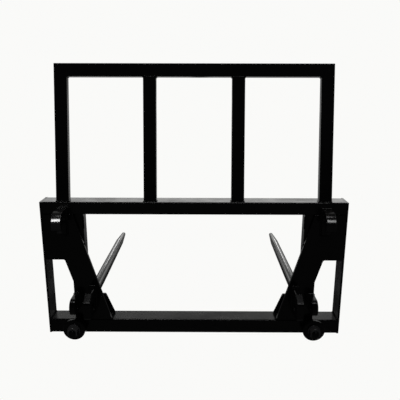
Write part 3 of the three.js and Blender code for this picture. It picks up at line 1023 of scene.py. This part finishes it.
@dataclass
class Guard:
    """The leaning load guard: mitred outer posts and rail, two inner posts and their welds."""

    lean: float = math.radians(10)
    setback: float = 0.005
    slope: float = 0.530
    tube_width: float = 0.050
    tube_depth: float = 0.030
    corner_radius: float = 0.004
    outer_x: float = 0.511
    inner_x: float = 0.1703333
    gap: float = 0.0003
    weld: WeldStyle = field(default_factory=lambda: WeldStyle(radius=0.0034, pitch=0.003))
    seam: WeldStyle = field(default_factory=lambda: WeldStyle(radius=0.0016, pitch=0.0026))

    def __post_init__(self) -> None:
        """Works out the guard's own frame."""
        self.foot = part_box("upper_beam")[1].z
        turn = Matrix.Rotation(-self.lean, 4, "X")
        self.stance = Matrix.Translation((0, self.setback, self.foot)) @ turn

    def stand(self, obj: bpy.types.Object) -> bpy.types.Object:
        """Leans a piece from the guard's own frame into place."""
        obj.matrix_world = self.stance
        take(obj)
        bpy.ops.object.transform_apply()
        return obj

    def post(self, name: str, x: float, top: float) -> bpy.types.Object:
        """Models an upright in the guard's own frame, its foot left long.

        Args:
            name: the piece's name.
            x: the upright's middle.
            top: its height up the slope.

        Returns:
            The upright.
        """
        half = self.tube_width / 2
        return rounded_tube(name, Vector((x - half, 0, -0.02)),
            Vector((x + half, self.tube_depth, top)), Z_AXIS, self.corner_radius)

    def cut_foot(self, obj: bpy.types.Object) -> None:
        """Cuts an upright's foot level with the beam it stands on."""
        bisect(obj, Vector((0, 0, self.foot + self.gap)), -Z_AXIS)
        soften(obj, 0.0003, 2)

    def build(self) -> None:
        """Models and dresses the guard."""
        corner = Vector((self.outer_x, 0, self.slope - self.tube_width / 2))
        shift = self.gap / 2 * math.sqrt(2)
        post = self.post("guard_outer_post_right_shell", self.outer_x, self.slope)
        # The mitre runs through the corner's middle, rising outwards.
        mitre = Vector((-1, 0, 1)).normalized()
        bisect(post, corner - mitre * shift / 2, mitre)
        self.cut_foot(self.stand(post))
        enlist_pair(post, FRAME_PAINT, "guard_outer_post")
        half = self.tube_width / 2
        width = self.outer_x + half
        rail = rounded_tube("guard_top_rail_shell", Vector(
            (-width, 0, self.slope - self.tube_width)), Vector(
            (width, self.tube_depth, self.slope)), X_AXIS, self.corner_radius)
        for side in Side:
            outward = Vector((side.value, 0, -1)).normalized()
            middle = Vector((side.value * corner.x, 0, corner.z))
            bisect(rail, middle - outward * shift / 2, outward)
        self.stand(rail)
        soften(rail, 0.0003, 2)
        enlist(rail, FRAME_PAINT, "guard_top_rail")
        for number, x in ((1, -self.inner_x), (2, self.inner_x)):
            inner = self.post(f"guard_inner_post_{number}_shell", x,
                self.slope - self.tube_width - self.gap)
            self.cut_foot(self.stand(inner))
            enlist(inner, FRAME_PAINT, f"guard_inner_post_{number}")
        self.weld_up()

    def weld_up(self) -> None:
        """Lays the beads at the feet, under the rail and in the mitres' inner corners."""
        beads = []
        half = self.tube_width / 2
        rail_foot = self.slope - self.tube_width
        roll = self.corner_radius
        rear = self.setback
        front = rear + self.tube_depth / math.cos(self.lean)
        for x in (-self.outer_x, -self.inner_x, self.inner_x, self.outer_x):
            beads += self.weld.runs([((x - half + roll, y, self.foot),
                (x + half - roll, y, self.foot)) for y in (rear + 0.0006, front - 0.0006)])
            beads += self.weld.runs([((edge, rear + roll, self.foot),
                (edge, front - roll, self.foot)) for edge in (x - half, x + half)])
        leaning = []
        depth = self.tube_depth
        for x in (-self.inner_x, self.inner_x):
            leaning += self.weld.runs([((edge, roll, rail_foot),
                (edge, depth - roll, rail_foot)) for edge in (x - half, x + half)])
            leaning += self.seam.runs([((x - half + roll, y, rail_foot),
                (x + half - roll, y, rail_foot)) for y in (0.0012, depth - 0.0012)])
        for side in Side:
            corner = side.value * (self.outer_x - half)
            leaning += self.weld.runs([((corner, roll, rail_foot),
                (corner, depth - roll, rail_foot))])
        beads.append(self.stand(join("rail_welds", leaning)))
        enlist(join("guard_welds", beads), WELD_PAINT)


@dataclass
class HitchBrackets:
    """The plates, posts, gussets, hooks and lugs that carry the frame on the loader."""

    edge: float = 0.0011
    plate_corner: float = 0.008
    post_corner: float = 0.005
    wing_edge_x: float = 0.5917
    wing_corner_x: float = 0.517
    wing_low: float = 0.292
    leg_x: float = 0.488
    leg_top: float = 0.198
    foot_inner_x: float = 0.339
    top_inner_x: float = 0.473
    gusset_top: float = 0.065
    gusset_corner: float = 0.005
    seat_radius: float = 0.021
    hook_band: float = 0.025
    hook_web: float = 0.017
    nose_drop: float = 0.010
    foot_drop: float = 0.068
    pin_reach: float = 0.052
    pin_height: float = 0.115
    pin_radius: float = 0.016
    outer_radius: float = 0.033
    inner_reach: float = 0.112
    inner_rise: float = 0.064
    shoulder_reach: float = 0.068
    nose_rise: float = 0.038
    lug_nose_drop: float = 0.030
    inner_foot_drop: float = 0.045
    lug_corner: float = 0.014
    gap: float = 0.0003
    weld: WeldStyle = field(default_factory=WeldStyle)
    heavy: WeldStyle = field(default_factory=lambda: WeldStyle(radius=0.0055, pitch=0.0042))

    def build(self) -> None:
        """Models and dresses both brackets."""
        self.build_plates()
        self.build_posts()
        self.build_hooks()
        self.build_lugs()
        self.weld_up()

    def build_plates(self) -> None:
        """Models the hitch plates."""
        low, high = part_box("hitch_plate_right")
        corner = self.plate_corner
        outline = round_corners([
            (self.wing_edge_x, high.z, 0), (self.wing_edge_x, self.wing_low, 0),
            (self.wing_corner_x, self.wing_low, corner), (self.leg_x, self.leg_top, corner),
            (self.leg_x, low.z, 0), (self.foot_inner_x, low.z, 0), (self.top_inner_x, high.z, 0)])
        plate = profile_plate("hitch_plate_right_shell", outline, lambda x,
            z: Vector((x, low.y, z)), Vector((0, high.y - low.y, 0)))
        soften(plate, self.edge)
        enlist_pair(plate, HITCH_PAINT, "hitch_plate")

    def build_posts(self) -> None:
        """Models the hitch posts and the gusset at the foot of each."""
        low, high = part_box("hitch_post_right")
        post = rounded_tube("hitch_post_right_shell", low, high, Z_AXIS, self.post_corner)
        soften(post, 0.0004, 2)
        enlist_pair(post, HITCH_PAINT, "hitch_post")
        low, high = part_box("corner_gusset_right")
        outline = round_corners([
            (high.x, low.z, 0), (low.x, low.z, 0),
            (high.x - self.gusset_top, high.z, self.gusset_corner), (high.x, high.z, 0)])
        gusset = profile_plate("corner_gusset_right_shell", outline, lambda x,
            z: Vector((x, low.y, z)), Vector((0, high.y - low.y, 0)))
        soften(gusset, self.edge)
        enlist_pair(gusset, HITCH_PAINT, "corner_gusset")

    def build_hooks(self) -> None:
        """Models the hooks, in outlines of distance behind the frame and height from the seat."""
        low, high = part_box("hook_right")
        outer = self.seat_radius + self.hook_band
        seat = self.hook_web + self.seat_radius
        nose = self.hook_band / 2
        nose_at = seat + self.seat_radius + nose
        seat_height = high.z - outer
        outline = [(self.gap, -self.foot_drop), (self.hook_web, self.hook_web - self.foot_drop)]
        outline += arc((seat, 0), self.seat_radius, 180, 0, 28)
        outline += arc((nose_at, -self.nose_drop), nose, 180, 360, 18)
        outline += arc((seat, 0), outer, 0, 90, 24)
        outline.append((self.gap, outer))
        hook = profile_plate("hook_right_shell", outline, lambda back,
            rise: Vector((low.x, -back, seat_height + rise)), Vector((high.x - low.x, 0, 0)))
        soften(hook, 0.0018)
        enlist_pair(hook, HITCH_PAINT, "hook")

    def build_lugs(self) -> None:
        """Models the pin lugs, in outlines of distance behind the frame and height from the pin."""
        radius = self.outer_radius
        outer = [(self.gap, -radius)] + arc((self.pin_reach, 0), radius, -90, 90,
            36) + [(self.gap, radius)]
        inner = round_corners([(self.gap, -self.inner_foot_drop, 0),
            (self.inner_reach, -self.lug_nose_drop, self.lug_corner),
            (self.inner_reach, self.nose_rise, self.lug_corner),
            (self.shoulder_reach, self.inner_rise, self.lug_corner),
            (self.gap, self.inner_rise, 0)])
        for stem, outline in (("outer_lug", outer), ("inner_lug", inner)):
            low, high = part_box(f"{stem}_right")
            lug = profile_plate(f"{stem}_right_shell", outline, lambda back, rise,
                x=low.x: Vector((x, -back, self.pin_height + rise)), Vector((high.x - low.x, 0, 0)))
            drill(lug, Vector(((low.x + high.x) / 2, -self.pin_reach, self.pin_height)), X_AXIS,
                  self.pin_radius, 0.08)
            soften(lug, 0.0014)
            enlist_pair(lug, HITCH_PAINT, stem)

    def weld_up(self) -> None:
        """Lays the beads of the right bracket, then mirrors them."""
        beads = []
        for stem, style, trim in (("hook", self.heavy, 0.004), ("outer_lug", self.weld, 0.002),
                ("inner_lug", self.weld, 0.002)):
            low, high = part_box(f"{stem}_right")
            for x in (low.x, high.x):
                beads += style.runs([((x, 0, low.z + trim), (x, 0, high.z - trim))])
            beads += style.runs([((low.x, 0, high.z), (high.x, 0, high.z))])
        post_low, post_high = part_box("hitch_post_right")
        plate_low, plate_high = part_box("hitch_plate_right")
        gusset_low, gusset_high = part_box("corner_gusset_right")
        post, front, foot, rear = post_low.x, plate_high.y, plate_low.z, 0.002
        runs = [((post, front, start), (post, front, start + 0.05)) for start in (0.09, 0.20, 0.31,
            0.42)]
        runs.append(((self.foot_inner_x, front, foot), (post, front, foot)))
        runs += [((x, rear, foot), (x, front, foot)) for x in (self.foot_inner_x, self.leg_x)]
        runs.append(((self.wing_edge_x, front, self.wing_low),
            (self.wing_edge_x, front, plate_high.z)))
        corner = (gusset_high.x, gusset_low.y, gusset_low.z)
        runs += [(gusset_low, corner), (corner, (gusset_high.x, gusset_low.y, gusset_high.z))]
        runs += [((post_low.x + 0.005, y, post_low.z), (post_high.x - 0.005, y, post_low.z))
                 for y in (post_low.y + 0.004, post_high.y)]
        enlist_welds(beads + self.weld.runs(runs), "hitch_welds")


@dataclass
class Tines:
    """The round tines, the sleeves they sit in, and the nuts that draw them home."""

    root_radius: float = 0.025
    taper_start: float = 0.550
    neck_radius: float = 0.022
    point_length: float = 0.165
    tip_radius: float = 0.012
    cone_front_radius: float = 0.021
    cone_rear_radius: float = 0.015
    thread_radius: float = 0.014
    thread_pitch: float = 0.003
    thread_turns: int = 10
    collar_radius: float = 0.04499
    collar_length: float = 0.036
    collar_thickness: float = 0.008
    collar_chamfer: float = 0.003
    sleeve_radius: float = 0.0247
    nut_across: float = 0.041
    washer_bore: float = 0.015
    edge_chamfer: float = 0.002
    gap: float = 0.0003
    weld: WeldStyle = field(default_factory=WeldStyle)

    def build(self) -> None:
        """Models and dresses the right tine's pieces, then mirrors them."""
        low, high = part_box("tine_right")
        self.axis = Vector(((low.x + high.x) / 2, 0, (low.z + high.z) / 2))
        self.build_tine(low.y, high.y)
        self.build_sleeve()
        self.build_fasteners()

    def build_tine(self, rear: float, tip: float) -> None:
        """Models the tine.

        Args:
            rear: where its threaded end stops.
            tip: where its point ends.
        """
        sleeve_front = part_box("tine_sleeve_right")[1].y
        shoulder = sleeve_front + self.gap
        start = tip - self.point_length
        centre = tip - self.tip_radius
        root = self.thread_radius - self.thread_pitch * 0.5
        profile = [(0, rear), (root - 0.001, rear), (root, rear + 0.001),
            (root, -self.collar_length), (self.cone_rear_radius, -self.collar_length),
            (self.cone_front_radius, sleeve_front), (self.cone_front_radius, shoulder),
            (self.root_radius - self.edge_chamfer, shoulder),
            (self.root_radius, shoulder + self.edge_chamfer)]
        steps = 12
        profile += [(self.root_radius + (self.neck_radius - self.root_radius) * i / steps,
            self.taper_start + (start - self.taper_start) * i / steps) for i in range(steps + 1)]
        profile += [(self.tip_radius * math.cos(a), centre + self.tip_radius * math.sin(a))
                    for a in (math.pi / 2 * i / 12 for i in range(12))]
        profile.append((0, tip))
        bar = turned("tine_right_shell", profile)
        ridge = thread("ridge", self.thread_radius, self.thread_pitch, rear + 0.0015,
            self.thread_turns)
        tine = join("tine_right_shell", [bar, ridge])
        settle_along_y(tine, self.axis)
        soften(tine, 0)
        enlist_pair(tine, TINE_PAINT, "tine")

    def build_sleeve(self) -> None:
        """Models the sleeve with its collar, and the ring welds that hold it."""
        low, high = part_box("tine_sleeve_right")
        rear_bore = self.cone_rear_radius + self.gap
        front_bore = self.cone_front_radius + self.gap
        collar = self.collar_radius
        sleeve = turned("tine_sleeve_right_shell", [(rear_bore, low.y),
            (collar - self.collar_chamfer, low.y), (collar, low.y + self.collar_chamfer),
            (collar, low.y + self.collar_thickness), (self.sleeve_radius,
            low.y + self.collar_thickness), (self.sleeve_radius, high.y), (front_bore, high.y),
            (rear_bore, low.y)])
        settle_along_y(sleeve, self.axis)
        soften(sleeve, 0.0006, 2)
        enlist_pair(sleeve, HITCH_PAINT, "tine_sleeve")
        rear, front = (corner.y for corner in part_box("lower_beam"))
        rings = [self.weld.ring(Vector((self.axis.x, front, self.axis.z)), Y_AXIS,
            self.sleeve_radius), self.weld.ring(Vector((self.axis.x, rear, self.axis.z)), -Y_AXIS,
            self.sleeve_radius)]
        enlist_welds(rings, "sleeve_welds")

    def build_fasteners(self) -> None:
        """Models the washer and the nut behind the collar."""
        low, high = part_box("tine_washer_right")
        ring = washer("tine_washer_right_shell", (high.z - low.z) / 2, self.washer_bore,
            high.y - low.y)
        settle_along_y(ring, self.axis + Y_AXIS * low.y)
        enlist_pair(ring, FASTENER_PAINT, "tine_washer")
        low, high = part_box("tine_nut_right")
        nut = hexagon("tine_nut_right_shell", self.nut_across, high.y - low.y,
            self.thread_radius + self.gap)
        settle_along_y(nut, self.axis + Y_AXIS * low.y)
        enlist_pair(nut, FASTENER_PAINT, "tine_nut")


def settle_along_y(obj: bpy.types.Object, place: Vector) -> None:
    """Settles a turned piece with its own Z along the tines."""
    settle(obj, place, Y_AXIS)


# ---------------------------------------------------------------- stage


@dataclass(frozen=True)
class StudioCamera:
    """The camera, by where it stands and how it is turned."""

    place: tuple[float, float, float] = (0.0321, -1.7498, 0.9834)
    forward: tuple[float, float, float] = (-0.00453, 0.96937, -0.24555)
    roll: float = math.radians(0.12)
    lens: float = 42.041
    sensor: float = 36.0

    def build(self) -> None:
        """Adds the camera and makes it the scene's."""
        clear_selection()
        bpy.ops.object.camera_add()
        camera = bpy.context.object
        camera.name = "studio_camera"
        forward = Vector(self.forward).normalized()
        level = forward.cross(Z_AXIS).normalized()
        upright = level.cross(forward)
        right = level * math.cos(self.roll) + upright * math.sin(self.roll)
        up = upright * math.cos(self.roll) - level * math.sin(self.roll)
        turn = Matrix((right, up, -forward)).transposed().to_4x4()
        camera.matrix_world = Matrix.Translation(self.place) @ turn
        camera.data.sensor_width = self.sensor
        camera.data.lens = self.lens
        camera.data.clip_start = 0.02
        camera.data.clip_end = 60
        bpy.context.scene.camera = camera


@dataclass(frozen=True)
class Softbox:
    """One soft light."""

    name: str
    place: tuple[float, float, float]
    aim: tuple[float, float, float]
    size: tuple[float, float]
    power: float
    falls_on: tuple[str, ...] = ()

    def build(self) -> None:
        """Adds the light, and where it is an accent keeps it to its own pieces."""
        clear_selection()
        bpy.ops.object.light_add(type="AREA", location=self.place)
        light = bpy.context.object
        light.name = self.name
        light.data.shape = "RECTANGLE"
        light.data.size, light.data.size_y = self.size
        light.data.energy = self.power
        way = Vector(self.aim) - Vector(self.place)
        light.rotation_euler = way.to_track_quat("-Z", "Y").to_euler()
        if self.falls_on:
            pieces = bpy.data.collections.new(f"{self.name}_pieces")
            for piece in self.falls_on:
                pieces.objects.link(bpy.data.objects[piece])
            light.light_linking.receiver_collection = pieces


@dataclass
class Studio:
    """The pale floor, the bright backdrop ahead and the soft lights."""

    pale: float = 0.955
    dim: float = 0.02
    floor_size: float = 60.0
    near_glow: float = 0.03
    far_glow: float = 0.55
    sky: tuple[tuple[float, float], ...] = ((0.0, 0.20), (0.15, 0.28), (0.22, 1.0), (0.31, 1.0),
        (0.36, 0.42), (0.43, 0.19), (0.60, 0.16), (1.0, 0.10))
    brightest: float = 1.55
    tint: tuple[float, float, float, float] = (1, 1, 0.985, 1)
    softboxes: tuple[Softbox, ...] = (
        Softbox("top_strip", (0, -0.35, 2.6), (0, 0, 0.4), (2.2, 0.14), 9),
        Softbox("hook_light_left", (-1.48, -2.54, 2.50), (-0.516, -0.08, 0.47), (0.40, 1.30), 60,
                ("hook_left_shell",)),
        Softbox("hook_light_right", (1.36, -2.50, 2.50), (0.516, -0.08, 0.47), (0.30, 1.20), 12,
                ("hook_right_shell",)),
        Softbox("nut_light_left", (-0.75, -2.30, 2.60), (-0.489, -0.09, 0.0), (0.80, 0.80), 110,
                ("tine_nut_left_shell", "tine_washer_left_shell")),
        Softbox("nut_light_right", (0.75, -2.30, 2.60), (0.489, -0.09, 0.0), (0.80, 0.80), 80,
                ("tine_nut_right_shell", "tine_washer_right_shell")),
        Softbox("tine_light_left", (-0.715, 2.5, 0.63), (-0.489, 0.9, 0.0), (0.10, 0.42), 1.1,
                ("tine_left_shell",)),
        Softbox("tine_light_right", (0.715, 2.5, 0.63), (0.489, 0.9, 0.0), (0.10, 0.42), 1.1,
                ("tine_right_shell",)),
    )

    flag_low: tuple[float, float, float] = (-0.07, 2.50, 0.0)
    flag_high: tuple[float, float, float] = (0.07, 2.52, 0.72)

    def build(self, floor_height: float) -> None:
        """Adds the floor, the world, the flag and the lights.

        Args:
            floor_height: the floor's Z.
        """
        bpy.context.scene.view_settings.view_transform = "Standard"
        self.build_world()
        self.build_floor(floor_height)
        self.build_flag()
        for softbox in self.softboxes:
            softbox.build()

    def build_flag(self) -> None:
        """Stands a black flag ahead of the tines, which only reflections see."""
        flag = block("studio_flag", Vector(self.flag_low), Vector(self.flag_high))
        material = bpy.data.materials.new("studio_flag")
        material.use_nodes = True
        shader = material.node_tree.nodes["Principled BSDF"]
        shader.inputs["Base Color"].default_value = (0, 0, 0, 1)
        shader.inputs["Roughness"].default_value = 1.0
        shader.inputs["Specular IOR Level"].default_value = 0.0
        flag.data.materials.append(material)
        flag.visible_camera = flag.visible_shadow = flag.visible_diffuse = False
        flag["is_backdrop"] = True

    def build_world(self) -> None:
        """Makes the surroundings: pale to the eye, and to reflections bright ahead and dark behind."""
        world = bpy.data.worlds.new("studio_world")
        bpy.context.scene.world = world
        world.use_nodes = True
        tree = world.node_tree
        sheet = NodeSheet(tree)
        background = tree.nodes["Background"]
        split = sheet.add("ShaderNodeSeparateXYZ", {0: sheet.add("ShaderNodeTexCoord").outputs[
            "Generated"]})
        ahead = sheet.remap(split.outputs["Y"], 0.35, 0.85, self.dim, self.brightest,
            interpolation_type="SMOOTHSTEP")
        height = sheet.add("ShaderNodeValToRGB", {0: split.outputs["Z"]})
        self.fill_ramp(height.color_ramp)
        across = sheet.add("ShaderNodeCombineXYZ", {"X": split.outputs["X"]})
        contrast = sheet.remap(sheet.noise(across.outputs[0], 7.5, 2.0), 0.36, 0.66, 0.12, 2.2)
        high = sheet.remap(split.outputs["Z"], 0.38, 0.45)
        varied = sheet.add("ShaderNodeMix", {0: high, 2: 1.0, 3: contrast})
        lit = sheet.math("MULTIPLY", ahead, sheet.math("MULTIPLY", height.outputs[0],
            varied.outputs[0]))
        tree.links.new(self.pale_to_the_eye(sheet, lit), background.inputs["Strength"])
        background.inputs["Color"].default_value = self.tint

    def pale_to_the_eye(self, sheet: NodeSheet,
            level: bpy.types.NodeSocket) -> bpy.types.NodeSocket:
        """Keeps a brightness for reflections and makes it pale to the eye."""
        seen = sheet.add("ShaderNodeLightPath").outputs["Is Camera Ray"]
        return sheet.add("ShaderNodeMix", {0: seen, 2: level, 3: self.pale}).outputs[0]

    def fill_ramp(self, ramp: bpy.types.ColorRamp) -> None:
        """Sets how bright the surroundings ahead are at each height.

        Args:
            ramp: the ramp to set.
        """
        while len(ramp.elements) < len(self.sky):
            ramp.elements.new(0.5)
        for element, (height, level) in zip(ramp.elements, self.sky):
            element.position = height
            element.color = (level, level, level, 1)

    def build_floor(self, height: float) -> None:
        """Makes the floor, pale to the eye and dark in reflections behind the frame.

        Args:
            height: the floor's Z.
        """
        clear_selection()
        bpy.ops.mesh.primitive_plane_add(size=self.floor_size, location=(0, 0, height))
        floor = bpy.context.object
        floor.name = floor.data.name = "studio_floor"
        material = bpy.data.materials.new("studio_floor")
        material.use_nodes = True
        tree = material.node_tree
        tree.nodes.clear()
        sheet = NodeSheet(tree)
        place = sheet.add("ShaderNodeNewGeometry").outputs["Position"]
        split = sheet.add("ShaderNodeSeparateXYZ", {0: place})
        ahead = sheet.remap(split.outputs["Y"], 0.9, 3.2, self.near_glow, self.far_glow)
        glow = sheet.add("ShaderNodeEmission", {"Color": self.tint,
            "Strength": self.pale_to_the_eye(sheet, ahead)})
        output = sheet.add("ShaderNodeOutputMaterial")
        tree.links.new(glow.outputs[0], output.inputs["Surface"])
        floor.data.materials.append(material)
        floor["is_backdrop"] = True


def main() -> tuple[Vector, Vector]:
    """Loads the frame and builds everything round it.

    Returns:
        The CAD model's box.
    """
    logging.basicConfig(level=logging.INFO, format="%(message)s")
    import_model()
    cad_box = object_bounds()
    StudioCamera().build()
    for assembly in (Beams(), SidePlates(), Guard(), HitchBrackets(), Tines()):
        assembly.build()
    Studio().build(cad_box[0].z - 0.0005)
    return cad_box


if __name__ == "__main__":
    CAD_LOW, CAD_HIGH = main()
